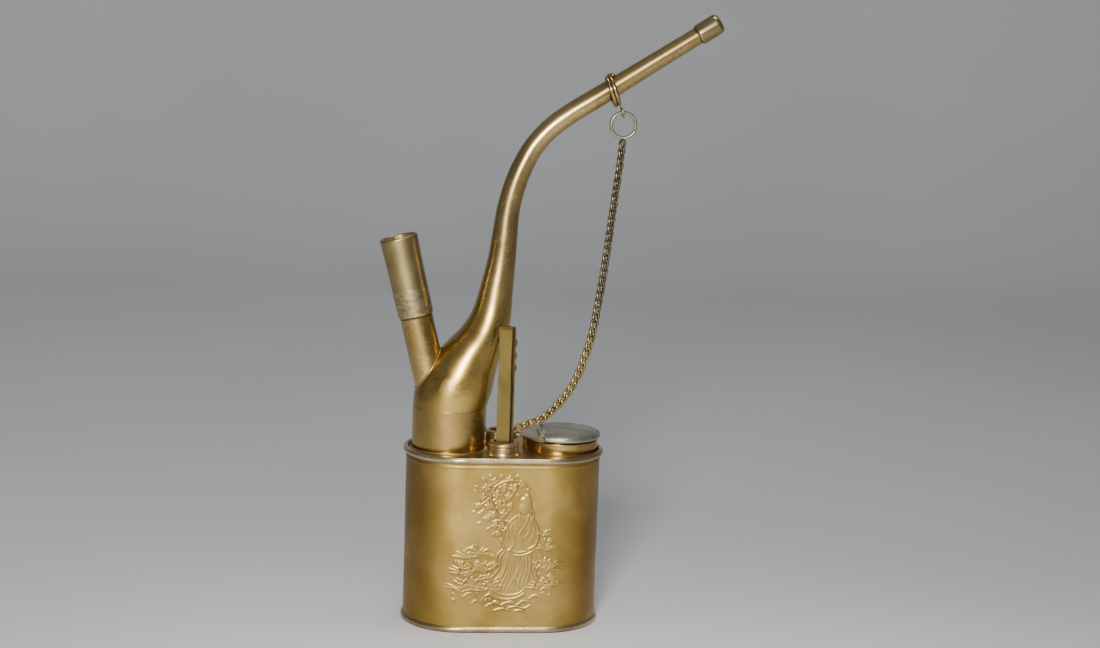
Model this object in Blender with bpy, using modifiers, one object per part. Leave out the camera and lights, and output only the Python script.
"""Brass tobacco water pipe: oval case, lift-out deck unit with water chamber and gooseneck stem,
lift-out bowl tube, tobacco box with a hinged lid, tweezers and a chain.

Metres, +Z up. The origin is the middle of the case's underside, +X runs to the tobacco box's side,
and +Y to the back. Every length below is in metres and every angle in degrees.
"""

import math

import bmesh
import bpy
from mathutils import Matrix, Vector

MM = 0.001
GAP = 0.3 * MM          # clearance between neighbouring pieces
SHEET = 0.8 * MM        # thickness of the brass sheet

# case
CASE_LENGTH = 88.0 * MM
CASE_DEPTH = 52.0 * MM
WALL_TOP = 76.9 * MM
RIM_TOP = 80.0 * MM
RIM_BULGE = 1.3 * MM
FOOT_HEIGHT = 2.6 * MM
FOOT_BULGE = 1.0 * MM
BASE_THICKNESS = 1.2 * MM
DECK_TOP = 79.0 * MM
DECK_THICKNESS = 1.0 * MM

# water chamber and gooseneck stem
CHAMBER_X = -24.9 * MM
CHAMBER_RADIUS = 16.7 * MM
CHAMBER_FLOOR = 5.0 * MM
CHAMBER_TOP = 98.0 * MM
STEM_SIDES = 20
STEM_STEPS = 2          # rings between two stations of the stem
SHOULDER_RINGS = 20  # the lowest rings, which reach past the slanting socket
STEM_WALL = 0.8 * MM
# centre x, height, radius along the case, radius across it; from the chamber to the mouthpiece
STEM_STATIONS_MM = (
    (-24.9, 98.3, 16.7, 16.7), (-23.5, 105.0, 17.4, 16.7), (-21.6, 112.0, 16.7, 16.0),
    (-18.5, 119.0, 15.2, 14.5), (-14.2, 127.0, 13.2, 12.7), (-9.9, 134.0, 10.8, 10.7),
    (-7.1, 141.9, 8.8, 8.8), (-5.5, 151.0, 7.6, 7.6), (-3.4, 165.0, 6.3, 6.3),
    (-2.3, 177.0, 5.7, 5.7), (-1.1, 188.0, 5.2, 5.2), (1.5, 198.7, 5.0, 5.0),
    (4.9, 207.6, 4.8, 4.8), (9.6, 216.2, 4.6, 4.6), (16.6, 224.2, 4.6, 4.6),
    (25.6, 231.2, 4.6, 4.6), (38.6, 239.5, 4.5, 4.5), (59.0, 252.8, 4.1, 4.1),
    (80.3, 266.6, 3.9, 3.9),
)
TILT_START = 141.0 * MM  # the stem's rings are level up to here,
TILT_FULL = 165.0 * MM   # and square to its centreline from here

FERRULE_LENGTH = 11.8 * MM
FERRULE_RADIUS = 4.7 * MM
FERRULE_BORE = 2.4 * MM

# bowl tube; distances run along its own axis from the joint between socket and sleeve
BOWL_JOINT = Vector((-41.05, 0.0, 139.2)) * MM
BOWL_TILT = 13.86
SOCKET_RADIUS = 7.4 * MM
SOCKET_BORE = 6.6 * MM
SLEEVE_LENGTH = 36.3 * MM
SLEEVE_FOOT_RADIUS = 7.9 * MM
SLEEVE_TOP_RADIUS = 8.6 * MM
SLEEVE_BORE = 7.1 * MM
BOWL_DEPTH = 11.0 * MM
DIP_RADIUS = 3.2 * MM
DIP_BORE = 2.4 * MM
DIP_LENGTH = 104.0 * MM

# tool sockets and tweezers
TOOL_X = -1.0 * MM
TOOL_Y = 12.6 * MM
TOOL_RADIUS = 6.9 * MM
TOOL_BORE = 4.6 * MM
TOOL_HEIGHT = 5.6 * MM
SHEATH_LENGTH = 52.0 * MM
TWEEZERS_TOP = 137.0 * MM
TWEEZERS_TIP = 31.0 * MM
TWEEZERS_WIDTH = 6.2 * MM
TWEEZERS_SPREAD = 5.2 * MM
TWEEZERS_SHEET = 0.9 * MM
TWEEZERS_TURN = -25.0
TWEEZERS_BEND = 2.0 * MM
LOBE_HEIGHTS = (129.2 * MM, 123.4 * MM, 117.9 * MM)
LOBE_RADIUS = 2.7 * MM
LOBE_REACH = 3.9 * MM   # from the strip's middle line

# tobacco box, its fixed half cover, its lid and the hinge between them
BOX_X = 25.8 * MM
BOX_RADIUS = 16.6 * MM
BOX_FLOOR = 8.0 * MM
BOX_TOP = 84.5 * MM
COVER_RADIUS = 18.1 * MM
COVER_BOTTOM = 84.8 * MM
COVER_THICKNESS = 1.1 * MM
HINGE_X = 17.0 * MM
HINGE_Z = 86.0 * MM
KNUCKLE_RADIUS = 1.2 * MM
KNUCKLE_BORE = 0.85 * MM
PIN_RADIUS = 0.5 * MM
HINGE_LENGTH = 18.0 * MM
LID_KNUCKLE_LENGTH = 7.0 * MM
LID_RIM_HEIGHT = 2.6 * MM
LID_DOME = 0.9 * MM

# chain and its rings
COLLAR_AT = Vector((43.5, 0.0, 242.6)) * MM
COLLAR_TILT = 19.0
COLLAR_DROP = 0.9 * MM
COLLAR_WIRE = 0.95 * MM
COLLAR_RADIUS = 6.7 * MM
SPLIT_RING_RADIUS = 5.6 * MM
SPLIT_RING_WIRE = 0.55 * MM
SPLIT_RING_HANG = Vector((0.12, 0.0, -0.993))
EYELET_RADIUS = 2.3 * MM
EYELET_OFFSET = 1.2 * MM    # along the collar from its middle
EYELET_WIRE = 0.4 * MM
TAB_X = 6.3 * MM
TAB_RADIUS = 2.4 * MM
TAB_BORE = 1.15 * MM
END_RING_CENTRE = Vector((4.5, 0.0, 85.35)) * MM
END_RING_RADIUS = 1.9 * MM
CHAIN_DIAMETER = 3.6 * MM
CHAIN_POINTS = 24
# the chain's route, from the split ring down to the half cover's tab
CHAIN_ROUTE_MM = (
    (49.0, 0.0, 219.3), (47.9, 0.0, 206.4), (45.6, 0.0, 186.2), (43.7, 0.0, 168.0),
    (41.4, 0.0, 149.8), (38.0, 0.0, 129.2), (32.3, 0.0, 111.6), (26.7, 0.0, 102.3),
    (19.4, 0.0, 94.5), (12.7, 0.0, 90.8), (7.7, 0.0, 89.3),
)

BRASS = (0.52, 0.36, 0.15)
DARK_BRASS = (0.40, 0.28, 0.14)
GREY_METAL = (0.30, 0.29, 0.25)
STEEL = (0.45, 0.44, 0.40)


# ---------------------------------------------------------------- scene, materials and collections

def clear_scene():
    for obj in list(bpy.data.objects):
        bpy.data.objects.remove(obj, do_unlink=True)


def make_collection(name):
    collection = bpy.data.collections.new(name)
    bpy.context.scene.collection.children.link(collection)
    return collection


def make_material(name, colour, roughness):
    material = bpy.data.materials.new(name)
    material.use_nodes = True
    shader = material.node_tree.nodes["Principled BSDF"]
    shader.inputs["Base Color"].default_value = (*colour, 1.0)
    shader.inputs["Metallic"].default_value = 1.0
    shader.inputs["Roughness"].default_value = roughness
    return material


def place(obj, collection, parent=None):
    """Puts an object in its collection and keeps its place in the world under a parent."""
    collection.objects.link(obj)
    if parent is not None:
        bpy.context.view_layer.update()
        obj.parent = parent
        obj.matrix_parent_inverse = parent.matrix_world.inverted()
    return obj


def finish(obj, colour, roughness=0.35, parent=None):
    """Makes an object one of the pipe's pieces, with a material of its own."""
    obj.data.materials.clear()
    obj.data.materials.append(make_material(obj.name + "_metal", colour, roughness))
    return place(obj, PIECES, parent)


def hide_cutter(obj):
    obj.hide_render = True
    obj.display_type = "WIRE"
    return place(obj, CUTTERS)


def make_empty(name, location):
    empty = bpy.data.objects.new(name, None)
    empty.location = location
    empty.empty_display_size = 0.01
    PIECES.objects.link(empty)
    return empty


# ---------------------------------------------------------------- shapes

def smooth(mesh):
    mesh.shade_smooth()
    mesh.set_sharp_from_angle(angle=math.radians(35))


def mesh_object(name, bm):
    mesh = bpy.data.meshes.new(name)
    bm.to_mesh(mesh)
    bm.free()
    smooth(mesh)
    return bpy.data.objects.new(name, mesh)


def turned(name, profile, steps=32):
    """A closed ring of (radius, height) points turned about Z.

    The points run down the outer side and back up the bore; a profile that starts and ends on the
    axis makes a piece with no bore."""
    closed = profile[0][0] > 0.0
    bm = bmesh.new()
    points = [bm.verts.new((radius, 0.0, height)) for radius, height in profile]
    for a, b in zip(points, points[1:]):
        bm.edges.new((a, b))
    if closed:
        bm.edges.new((points[-1], points[0]))
    obj = mesh_object(name, bm)
    screw = obj.modifiers.new("Turn", "SCREW")
    screw.steps = steps
    screw.render_steps = steps
    screw.use_merge_vertices = True
    screw.merge_threshold = 0.00001
    return obj


def ring_profile(outer, bore, bottom, top):
    return [(outer, top), (outer, bottom), (bore, bottom), (bore, top)]


def bead_profile(centre, height, wire, points=8):
    """A round wire's section, turned the way Screw needs it."""
    turns = [2 * math.pi * i / points for i in range(points)]
    return [(centre + wire * math.sin(a), height + wire * math.cos(a)) for a in turns]


def wire_ring(name, radius, wire, steps=28, points=8):
    return turned(name, bead_profile(radius, 0.0, wire, points), steps)


def aimed(direction, location):
    """The matrix that turns Z to a direction and moves the origin to a location."""
    turn = Vector((0, 0, 1)).rotation_difference(direction.normalized())
    return Matrix.Translation(location) @ turn.to_matrix().to_4x4()


def oval_outline(grow, arc_steps=16):
    """The case's plan: two half circles joined by straight sides, grown outwards by a distance."""
    radius = CASE_DEPTH / 2 + grow
    offset = (CASE_LENGTH - CASE_DEPTH) / 2
    points = []
    for side, start in ((1, -math.pi / 2), (-1, math.pi / 2)):
        for i in range(arc_steps + 1):
            turn = start + math.pi * i / arc_steps
            points.append((side * offset + radius * math.cos(turn), radius * math.sin(turn)))
    return points


def bridge_rings(bm, rings, closed):
    """Faces between rings of vertices, each ring counter-clockwise seen from the last one."""
    pairs = list(zip(rings, rings[1:]))
    if closed:
        pairs.append((rings[-1], rings[0]))
    for low, high in pairs:
        count = len(low)
        for i in range(count):
            j = (i + 1) % count
            bm.faces.new((low[i], low[j], high[j], high[i]))


def oval_ring(name, section):
    """A ring that follows the case's plan; section holds (grow, height) points.

    The section's points run up the outer side and down the inner side."""
    bm = bmesh.new()
    rings = []
    for grow, height in section:
        rings.append([bm.verts.new((x, y, height)) for x, y in oval_outline(grow)])
    bridge_rings(bm, rings, closed=True)
    return mesh_object(name, bm)


def oval_plate(name, grow, bottom, top):
    bm = bmesh.new()
    rings = [[bm.verts.new((x, y, z)) for x, y in oval_outline(grow)] for z in (bottom, top)]
    bridge_rings(bm, rings, closed=False)
    bm.faces.new(list(reversed(rings[0])))
    bm.faces.new(rings[1])
    return mesh_object(name, bm)


def cylinder(name, radius, start, end, sides=32):
    """A closed cylinder between two points."""
    bm = bmesh.new()
    axis = end - start
    bmesh.ops.create_cone(
        bm, cap_ends=True, segments=sides, radius1=radius, radius2=radius, depth=axis.length
    )
    bmesh.ops.transform(bm, matrix=aimed(axis, (start + end) / 2), verts=bm.verts)
    return mesh_object(name, bm)


def block(name, low, high):
    bm = bmesh.new()
    bmesh.ops.create_cube(bm, size=1.0)
    size = Vector(high) - Vector(low)
    middle = (Vector(high) + Vector(low)) / 2
    matrix = Matrix.Translation(middle) @ Matrix.Diagonal((*size, 1.0))
    bmesh.ops.transform(bm, matrix=matrix, verts=bm.verts)
    return mesh_object(name, bm)


def boolean(obj, other, operation):
    modifier = obj.modifiers.new(operation.title(), "BOOLEAN")
    modifier.operation = operation
    modifier.solver = "EXACT"
    modifier.object = other
    return obj


def cut(obj, cutter):
    return boolean(obj, hide_cutter(cutter), "DIFFERENCE")


def add(obj, other):
    return boolean(obj, hide_cutter(other), "UNION")


def spline(points, at):
    """The point at a place along a smooth curve through the points; at counts points from 0."""
    i = min(int(at), len(points) - 2)
    t = at - i
    before = points[max(i - 1, 0)]
    after = points[min(i + 2, len(points) - 1)]
    result = []
    for a, b, c, d in zip(before, points[i], points[i + 1], after):
        value = 2 * b + (c - a) * t + (2 * a - 5 * b + 4 * c - d) * t ** 2
        value += (3 * b - a - 3 * c + d) * t ** 3
        result.append(value / 2)
    return result


# ---------------------------------------------------------------- case

def make_case():
    wall = oval_ring("case_wall", [
        (0.0, FOOT_HEIGHT + GAP), (0.0, WALL_TOP), (-SHEET, WALL_TOP), (-SHEET, FOOT_HEIGHT + GAP),
    ])
    finish(wall, BRASS)
    foot = oval_ring("foot_bead", [
        (0.5 * FOOT_BULGE, 0.0), (FOOT_BULGE, 0.3 * FOOT_HEIGHT), (FOOT_BULGE, 0.7 * FOOT_HEIGHT),
        (0.4 * FOOT_BULGE, FOOT_HEIGHT), (-SHEET, FOOT_HEIGHT), (-SHEET, 0.0),
    ])
    finish(foot, BRASS)
    base = oval_plate("base_plate", -SHEET - GAP, 0.0, BASE_THICKNESS)
    finish(base, BRASS)


# ---------------------------------------------------------------- deck

def make_deck(unit):
    middle = (WALL_TOP + GAP + RIM_TOP) / 2
    rim = oval_ring("deck_rim", [
        (0.3 * RIM_BULGE, WALL_TOP + GAP), (0.85 * RIM_BULGE, middle - 0.8 * MM),
        (RIM_BULGE, middle), (0.85 * RIM_BULGE, middle + 0.9 * MM), (0.3 * RIM_BULGE, RIM_TOP),
        (-0.5 * SHEET, RIM_TOP), (-SHEET, RIM_TOP - 0.3 * MM), (-SHEET, WALL_TOP + GAP),
    ])
    finish(rim, BRASS, parent=unit)
    deck = oval_plate("deck_plate", -SHEET - GAP, DECK_TOP - DECK_THICKNESS, DECK_TOP)
    holes = (
        ("chamber_hole", CHAMBER_X, 0.0, CHAMBER_RADIUS),
        ("box_hole", BOX_X, 0.0, BOX_RADIUS),
        ("front_tool_hole", TOOL_X, -TOOL_Y, TOOL_BORE + SHEET),
        ("rear_tool_hole", TOOL_X, TOOL_Y, TOOL_BORE + SHEET),
    )
    for name, x, y, radius in holes:
        low = Vector((x, y, DECK_TOP - 2 * DECK_THICKNESS))
        high = Vector((x, y, DECK_TOP + DECK_THICKNESS))
        cut(deck, cylinder(name, radius + GAP, low, high, 48))
    finish(deck, BRASS, parent=unit)


# ---------------------------------------------------------------- water chamber and stem

def stem_rings(grow):
    """The stem's rings, from the chamber up, each a (centre, forward axis, two radii)."""
    stations = [tuple(value * MM for value in station) for station in STEM_STATIONS_MM]
    count = (len(stations) - 1) * STEM_STEPS
    rings = []
    for i in range(count + 1):
        x, z, along, across = spline(stations, i / STEM_STEPS)
        ahead = spline(stations, min(i + 0.2, count) / STEM_STEPS)
        behind = spline(stations, max(i - 0.2, 0) / STEM_STEPS)
        tilt = math.atan2(ahead[0] - behind[0], ahead[1] - behind[1])
        share = min(max((z - TILT_START) / (TILT_FULL - TILT_START), 0.0), 1.0)
        tilt *= share * share * (3 - 2 * share)
        rings.append((Vector((x, 0.0, z)), tilt, along + grow, across + grow))
    return rings


def stem_vertices(bm, rings):
    loops = []
    for centre, tilt, along, across in rings:
        side = Vector((math.cos(tilt), 0.0, -math.sin(tilt)))
        loop = []
        for i in range(STEM_SIDES):
            turn = 2 * math.pi * i / STEM_SIDES
            point = centre + side * (along * math.cos(turn))
            point += Vector((0.0, across * math.sin(turn), 0.0))
            loop.append(bm.verts.new(point))
        loops.append(loop)
    return loops


def make_stem(unit):
    bm = bmesh.new()
    outer = stem_vertices(bm, stem_rings(0.0))
    inner = stem_vertices(bm, stem_rings(-STEM_WALL))
    bridge_rings(bm, outer + list(reversed(inner)), closed=True)
    stem = mesh_object("gooseneck_stem", bm)
    start = bowl_point(-9.0 * MM)
    end = bowl_point(-40.0 * MM)
    cut(stem, cylinder("socket_hole", SOCKET_BORE - GAP, start, end, 24))
    finish(stem, BRASS, parent=unit)


def stem_envelope(name, grow):
    """The stem as one closed body without its bore, to trim what meets it."""
    bm = bmesh.new()
    loops = stem_vertices(bm, stem_rings(grow))[:SHOULDER_RINGS]
    bridge_rings(bm, loops, closed=False)
    bm.faces.new(list(reversed(loops[0])))
    bm.faces.new(loops[-1])
    return mesh_object(name, bm)


def make_chamber(unit):
    wall = turned("chamber_wall", ring_profile(
        CHAMBER_RADIUS, CHAMBER_RADIUS - SHEET, CHAMBER_FLOOR + SHEET + GAP, CHAMBER_TOP
    ), 40)
    wall.location = (CHAMBER_X, 0.0, 0.0)
    finish(wall, BRASS, parent=unit)
    floor = cylinder(
        "chamber_floor", CHAMBER_RADIUS,
        Vector((CHAMBER_X, 0.0, CHAMBER_FLOOR)), Vector((CHAMBER_X, 0.0, CHAMBER_FLOOR + SHEET)), 40,
    )
    finish(floor, BRASS, parent=unit)


def make_ferrule(unit):
    last = stem_rings(0.0)[-1]
    direction = Vector((math.sin(last[1]), 0.0, math.cos(last[1])))
    ferrule = turned("mouthpiece_ferrule", [
        (0.80 * FERRULE_RADIUS, FERRULE_LENGTH), (0.95 * FERRULE_RADIUS, FERRULE_LENGTH - 0.3 * MM),
        (FERRULE_RADIUS, FERRULE_LENGTH - 0.9 * MM), (FERRULE_RADIUS, 0.5 * MM),
        (0.93 * FERRULE_RADIUS, 0.0), (FERRULE_BORE, 0.0), (FERRULE_BORE, FERRULE_LENGTH - 0.5 * MM),
        (FERRULE_BORE + 0.5 * MM, FERRULE_LENGTH),
    ], 24)
    ferrule.matrix_world = aimed(direction, last[0] + direction * GAP)
    finish(ferrule, BRASS, parent=unit)


# ---------------------------------------------------------------- bowl tube

def bowl_direction():
    tilt = math.radians(BOWL_TILT)
    return Vector((-math.sin(tilt), 0.0, math.cos(tilt)))


def bowl_point(distance):
    return BOWL_JOINT + bowl_direction() * distance


def make_bowl_socket(unit):
    socket = turned("bowl_socket", ring_profile(SOCKET_RADIUS, SOCKET_BORE, -38.0 * MM, -GAP), 28)
    socket.matrix_world = aimed(bowl_direction(), BOWL_JOINT)
    cut(socket, stem_envelope("stem_trim", GAP))
    finish(socket, BRASS, parent=unit)


def make_bowl(bowl):
    sleeve = turned("bowl_sleeve", [
        (SLEEVE_TOP_RADIUS - 0.3 * MM, SLEEVE_LENGTH), (SLEEVE_TOP_RADIUS, SLEEVE_LENGTH - 0.4 * MM),
        (SLEEVE_FOOT_RADIUS, 0.3 * MM), (SLEEVE_FOOT_RADIUS - 0.3 * MM, 0.0),
        (SLEEVE_BORE, 0.0), (SLEEVE_BORE, SLEEVE_LENGTH),
    ], 28)
    cup_radius = SLEEVE_BORE - GAP
    cup_bottom = SLEEVE_LENGTH - BOWL_DEPTH - 1.0 * MM
    cup = turned("bowl_cup", [
        (cup_radius, SLEEVE_LENGTH - 0.6 * MM), (cup_radius, cup_bottom), (1.2 * MM, cup_bottom),
        (1.2 * MM, cup_bottom + 1.0 * MM), (0.6 * cup_radius, cup_bottom + 1.2 * MM),
        (cup_radius - SHEET, cup_bottom + 4.0 * MM), (cup_radius - 0.5 * MM, SLEEVE_LENGTH - 0.6 * MM),
    ], 24)
    spigot = SOCKET_BORE - GAP
    dip = turned("dip_tube", [
        (spigot, cup_bottom - GAP), (spigot, cup_bottom - 2.0 * MM), (DIP_RADIUS, cup_bottom - 5.0 * MM),
        (DIP_RADIUS, 1.0 * MM), (spigot, 0.0), (spigot, -7.0 * MM), (DIP_RADIUS, -10.0 * MM),
        (DIP_RADIUS, -DIP_LENGTH), (DIP_BORE, -DIP_LENGTH), (DIP_BORE, cup_bottom - GAP),
    ], 20)
    for piece, colour in ((sleeve, DARK_BRASS), (cup, DARK_BRASS), (dip, BRASS)):
        piece.matrix_world = aimed(bowl_direction(), BOWL_JOINT)
        finish(piece, colour, 0.4, parent=bowl)


# ---------------------------------------------------------------- tool sockets and tweezers

def make_tool_socket(side, y, unit):
    collar = turned("tool_socket_" + side, [
        (TOOL_BORE + 0.2 * MM, TOOL_HEIGHT), (0.93 * TOOL_RADIUS, TOOL_HEIGHT - 0.6 * MM),
        (TOOL_RADIUS, TOOL_HEIGHT - 1.6 * MM), (TOOL_RADIUS, 0.8 * MM), (TOOL_RADIUS + 0.3 * MM, 0.3 * MM),
        (TOOL_RADIUS + 0.3 * MM, 0.0), (TOOL_BORE, 0.0), (TOOL_BORE, TOOL_HEIGHT - 0.2 * MM),
    ], 28)
    collar.location = (TOOL_X, y, DECK_TOP + GAP)
    finish(collar, BRASS, parent=unit)
    bottom = DECK_TOP - SHEATH_LENGTH
    sheath = turned("tool_sheath_" + side, [
        (0.0, bottom + SHEET), (TOOL_BORE, bottom + SHEET), (TOOL_BORE, DECK_TOP),
        (TOOL_BORE + SHEET, DECK_TOP), (TOOL_BORE + SHEET, bottom), (0.0, bottom),
    ], 20)
    sheath.location = (TOOL_X, y, 0.0)
    finish(sheath, BRASS, parent=unit)


def bent_leg_path(depth):
    """One face of the bent strip, at a depth under its outer face, from tip to tip."""
    half = TWEEZERS_SPREAD / 2
    corner = half - TWEEZERS_BEND
    top = TWEEZERS_TOP - TWEEZERS_BEND
    radius = TWEEZERS_BEND - depth
    path = [(depth - half, TWEEZERS_TIP)]
    for sign, turns in ((-1, (180, 150, 120, 90)), (1, (90, 60, 30, 0))):
        for turn in turns:
            a = math.radians(turn)
            path.append((sign * corner + radius * math.cos(a), top + radius * math.sin(a)))
    path.append((half - depth, TWEEZERS_TIP))
    return path


def tweezers_outline():
    """The bent strip seen from its side: up one leg, over the bow and down the other."""
    return bent_leg_path(0.0) + list(reversed(bent_leg_path(TWEEZERS_SHEET)))


def make_tweezers(tool):
    curve = bpy.data.curves.new("tweezers_strip", "CURVE")
    curve.dimensions = "2D"
    curve.fill_mode = "BOTH"
    curve.extrude = TWEEZERS_WIDTH / 2
    outline = tweezers_outline()
    path = curve.splines.new("POLY")
    path.points.add(len(outline) - 1)
    for point, (x, z) in zip(path.points, outline):
        point.co = (x, z, 0.0, 1.0)
    path.use_cyclic_u = True
    guide = bpy.data.objects.new("tweezers_strip", curve)
    bpy.context.scene.collection.objects.link(guide)
    bpy.context.view_layer.update()
    graph = bpy.context.evaluated_depsgraph_get()
    mesh = bpy.data.meshes.new_from_object(guide.evaluated_get(graph))
    bpy.data.objects.remove(guide, do_unlink=True)
    bm = bmesh.new()
    bm.from_mesh(mesh)
    bpy.data.meshes.remove(mesh)
    bmesh.ops.remove_doubles(bm, verts=bm.verts, dist=1e-6)
    bmesh.ops.rotate(bm, verts=bm.verts, matrix=Matrix.Rotation(math.radians(90), 3, "X"))
    bmesh.ops.rotate(bm, verts=bm.verts, matrix=Matrix.Rotation(math.radians(90), 3, "Z"))
    tweezers = mesh_object("tweezers", bm)
    outer = TWEEZERS_SPREAD / 2
    for height in LOBE_HEIGHTS:
        for side in (-1, 1):
            x = side * (LOBE_REACH - LOBE_RADIUS)
            start = Vector((x, outer - TWEEZERS_SHEET, height))
            lobe = cylinder("lobe", LOBE_RADIUS, start, Vector((x, outer, height)), 20)
            lobe.matrix_world = tweezers_place()
            add(tweezers, lobe)
    tweezers.matrix_world = tweezers_place()
    finish(tweezers, BRASS, parent=tool)


def tweezers_place():
    turn = Matrix.Rotation(math.radians(TWEEZERS_TURN), 4, "Z")
    return Matrix.Translation((TOOL_X, -TOOL_Y, 0.0)) @ turn


# ---------------------------------------------------------------- tobacco box and lid

def make_box(unit):
    inner = BOX_RADIUS - SHEET
    box = turned("tobacco_box", [
        (0.0, BOX_FLOOR + SHEET), (inner, BOX_FLOOR + SHEET), (inner, BOX_TOP),
        (BOX_RADIUS, BOX_TOP), (BOX_RADIUS, BOX_FLOOR), (0.0, BOX_FLOOR),
    ], 40)
    box.location = (BOX_X, 0.0, 0.0)
    finish(box, BRASS, parent=unit)


def knuckle(name, low_y, high_y):
    start = Vector((HINGE_X, low_y, HINGE_Z))
    end = Vector((HINGE_X, high_y, HINGE_Z))
    return cylinder(name, KNUCKLE_RADIUS, start, end, 16)


def pin_hole(name):
    start = Vector((HINGE_X, -HINGE_LENGTH, HINGE_Z))
    end = Vector((HINGE_X, HINGE_LENGTH, HINGE_Z))
    return cylinder(name, KNUCKLE_BORE, start, end, 12)


def make_cover(unit):
    """The fixed half cover: the part of the disc left of the hinge, with the chain's tab."""
    top = COVER_BOTTOM + COVER_THICKNESS
    centre = Vector((BOX_X, 0.0, COVER_BOTTOM))
    cover = cylinder("half_cover", COVER_RADIUS, centre, centre + Vector((0, 0, COVER_THICKNESS)), 48)
    tab = Vector((TAB_X, 0.0, COVER_BOTTOM))
    add(cover, cylinder("chain_tab", TAB_RADIUS, tab, tab + Vector((0, 0, COVER_THICKNESS)), 20))
    far = BOX_X + 2 * COVER_RADIUS
    edge = HINGE_X - 0.2 * MM
    cut(cover, block("cover_edge", (edge, -far, COVER_BOTTOM - MM), (far, far, top + MM)))
    half_lid = LID_KNUCKLE_LENGTH / 2 + GAP
    clear = KNUCKLE_RADIUS + GAP
    cut(cover, block(
        "cover_notch", (HINGE_X - clear, -half_lid, COVER_BOTTOM - MM), (far, half_lid, top + MM)
    ))
    add(cover, knuckle("cover_knuckle_front", -HINGE_LENGTH / 2, -half_lid))
    add(cover, knuckle("cover_knuckle_rear", half_lid, HINGE_LENGTH / 2))
    cut(cover, pin_hole("cover_pin_hole"))
    low = Vector((TAB_X, 0.0, COVER_BOTTOM - MM))
    cut(cover, cylinder("tab_hole", TAB_BORE, low, low + Vector((0, 0, 4 * MM)), 16))
    finish(cover, BRASS, parent=unit)


def make_lid(hinge):
    rim = COVER_BOTTOM + LID_RIM_HEIGHT
    inner = COVER_RADIUS - 1.2 * MM
    disc = turned("lid", [
        (0.0, rim + LID_DOME), (0.45 * COVER_RADIUS, rim + 0.85 * LID_DOME),
        (0.8 * COVER_RADIUS, rim + 0.4 * LID_DOME), (COVER_RADIUS - 0.5 * MM, rim),
        (COVER_RADIUS, rim - 0.5 * MM), (COVER_RADIUS, COVER_BOTTOM + 0.4 * MM),
        (COVER_RADIUS - 0.4 * MM, COVER_BOTTOM), (inner, COVER_BOTTOM),
        (inner - 0.2 * MM, COVER_BOTTOM + 1.1 * MM), (0.0, COVER_BOTTOM + 1.1 * MM + 0.6 * LID_DOME),
    ], 48)
    disc.location = (BOX_X, 0.0, 0.0)
    far = BOX_X + 2 * COVER_RADIUS
    top = rim + 5 * MM
    clear = KNUCKLE_RADIUS + GAP
    half_lid = LID_KNUCKLE_LENGTH / 2
    half_hinge = HINGE_LENGTH / 2 + GAP
    cut(disc, block("lid_edge", (-far, -far, COVER_BOTTOM - MM), (HINGE_X + 0.2 * MM, far, top)))
    for side in (-1, 1):
        a, b = sorted((side * half_lid, side * half_hinge))
        low = (HINGE_X - MM, a, COVER_BOTTOM - MM)
        cut(disc, block(f"lid_notch_{side}", low, (HINGE_X + clear, b, top)))
    add(disc, knuckle("lid_knuckle", -half_lid, half_lid))
    cut(disc, pin_hole("lid_pin_hole"))
    finish(disc, GREY_METAL, 0.4, parent=hinge)


def make_hinge_pin(unit):
    start = Vector((HINGE_X, -HINGE_LENGTH / 2 - 0.4 * MM, HINGE_Z))
    end = Vector((HINGE_X, HINGE_LENGTH / 2 + 0.4 * MM, HINGE_Z))
    finish(cylinder("hinge_pin", PIN_RADIUS, start, end, 10), STEEL, parent=unit)


# ---------------------------------------------------------------- chain, its collar and its rings

def collar_axes():
    """The loose collar's own axis, and the way down across it."""
    tilt = math.radians(COLLAR_TILT)
    along = Vector((math.cos(tilt), 0.0, math.sin(tilt)))
    down = Vector((math.sin(tilt), 0.0, -math.cos(tilt)))
    return along, down


def eyelet_centre():
    reach = COLLAR_DROP + COLLAR_RADIUS + COLLAR_WIRE + GAP + EYELET_WIRE + EYELET_RADIUS
    along, down = collar_axes()
    return COLLAR_AT + down * reach + along * EYELET_OFFSET


def split_ring_centre():
    return eyelet_centre() + SPLIT_RING_HANG * SPLIT_RING_RADIUS


def make_collar(unit):
    along, down = collar_axes()
    wire = COLLAR_WIRE
    left = bead_profile(COLLAR_RADIUS, -0.85 * wire, wire, 8)
    right = bead_profile(COLLAR_RADIUS, 0.85 * wire, wire, 8)
    collar = turned("chain_collar", left, 28)
    collar.matrix_world = aimed(along, COLLAR_AT + down * COLLAR_DROP)
    second = turned("collar_second_turn", right, 28)
    second.matrix_world = collar.matrix_world
    add(collar, second)
    finish(collar, BRASS, parent=unit)
    eyelet = wire_ring("collar_eyelet", EYELET_RADIUS, EYELET_WIRE, 16, 6)
    eyelet.matrix_world = aimed(along, eyelet_centre())
    finish(eyelet, BRASS, parent=unit)


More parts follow.
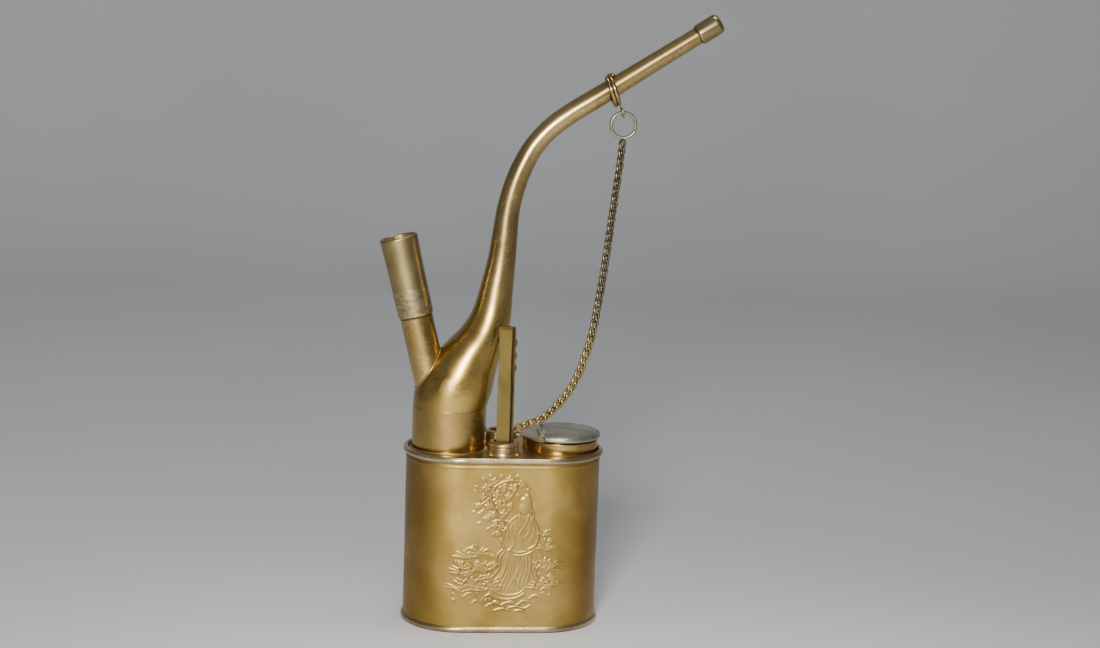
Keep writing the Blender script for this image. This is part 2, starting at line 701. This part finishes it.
def make_rings(unit):
    split = wire_ring("split_ring", SPLIT_RING_RADIUS, SPLIT_RING_WIRE, 28, 6)
    split.matrix_world = aimed(Vector((0.0, 1.0, 0.0)), split_ring_centre())
    finish(split, BRASS, parent=unit)
    end = wire_ring("chain_end_ring", END_RING_RADIUS, EYELET_WIRE, 16, 6)
    end.matrix_world = aimed(Vector((0.0, 1.0, 0.0)), END_RING_CENTRE)
    finish(end, BRASS, parent=unit)


def make_chain(unit):
    curve = bpy.data.curves.new("chain", "CURVE")
    curve.dimensions = "3D"
    curve.bevel_depth = CHAIN_DIAMETER / 2
    curve.bevel_resolution = 2
    curve.use_fill_caps = True
    path = curve.splines.new("POLY")
    path.points.add(CHAIN_POINTS - 1)
    last = len(CHAIN_ROUTE_MM) - 1
    for i, point in enumerate(path.points):
        x, y, z = spline(CHAIN_ROUTE_MM, last * i / (CHAIN_POINTS - 1))
        point.co = (x * MM, y * MM, z * MM, 1.0)
    chain = bpy.data.objects.new("chain", curve)
    finish(chain, DARK_BRASS, parent=unit)


# ---------------------------------------------------------------- the whole pipe

clear_scene()
PIECES = make_collection("tobacco_water_pipe")
CUTTERS = make_collection("cutters")

UNIT = make_empty("deck_unit_lift", (0.0, 0.0, DECK_TOP))
BOWL = make_empty("bowl_lift", BOWL_JOINT)
LID = make_empty("lid_hinge", (HINGE_X, 0.0, HINGE_Z))
TOOL = make_empty("tweezers_lift", (TOOL_X, -TOOL_Y, DECK_TOP))

make_case()
make_deck(UNIT)
make_chamber(UNIT)
make_stem(UNIT)
make_ferrule(UNIT)
make_bowl_socket(UNIT)
make_bowl(BOWL)
make_tool_socket("front", -TOOL_Y, UNIT)
make_tool_socket("rear", TOOL_Y, UNIT)
make_tweezers(TOOL)
make_box(UNIT)
make_cover(UNIT)
make_hinge_pin(UNIT)
make_lid(LID)
make_collar(UNIT)
make_rings(UNIT)
make_chain(UNIT)
for joint in (BOWL, LID, TOOL):
    joint.parent = UNIT
    joint.matrix_parent_inverse = UNIT.matrix_world.inverted()
